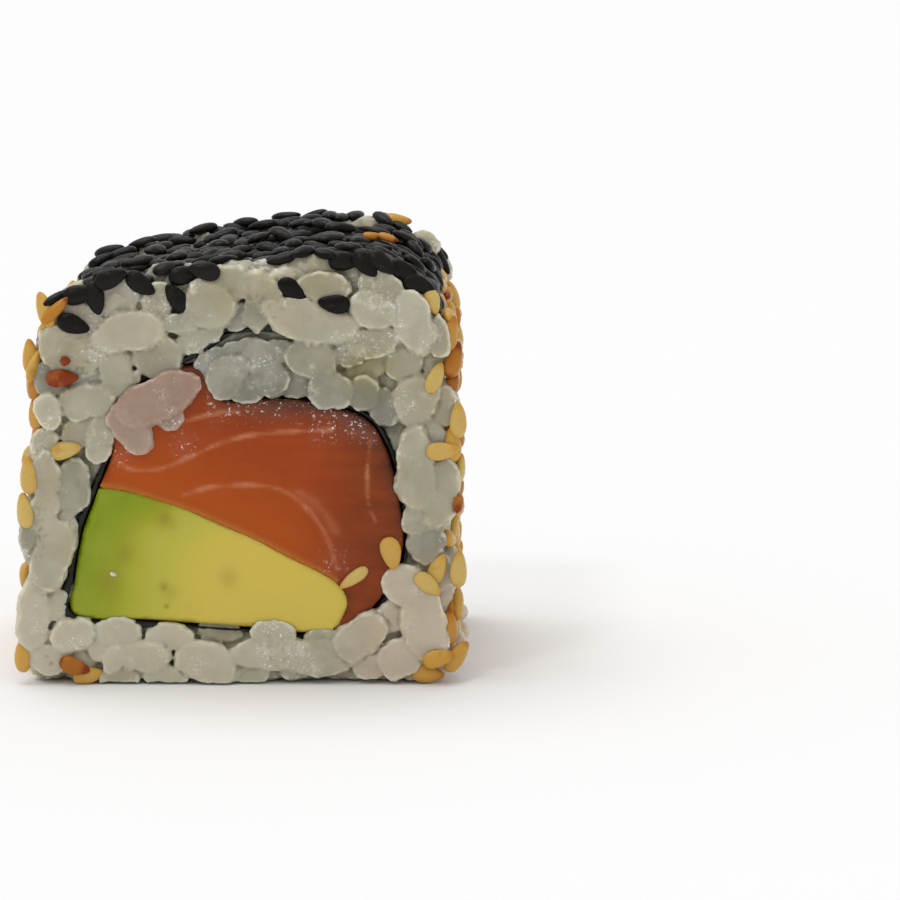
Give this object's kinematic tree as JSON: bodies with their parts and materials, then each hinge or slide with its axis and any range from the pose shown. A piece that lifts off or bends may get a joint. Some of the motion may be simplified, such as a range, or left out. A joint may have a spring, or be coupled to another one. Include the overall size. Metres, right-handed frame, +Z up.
{
  "type": "uramaki roll piece",
  "caption": "Uramaki sushi roll, one cut piece: rice outside with black and toasted sesame, a spiral of nori, salmon and avocado inside.",
  "frame": {"origin": "middle of the underside, on the surface that the roll stands on", "axes": "+Z up, +X to the right seen from the front, +Y from the front cut face to the back cut face"},
  "size_m": [0.0382, 0.0344, 0.0379],
  "materials": {
    "rice": "satin",
    "nori": "matte",
    "salmon": "gloss",
    "avocado": "satin",
    "sesame_black": "satin",
    "sesame_toasted": "satin"
  },
  "bodies": {
    "root": {"rice": "rice", "nori": "nori", "salmon": "salmon", "avocado": "avocado"}
  },
  "joints": []
}
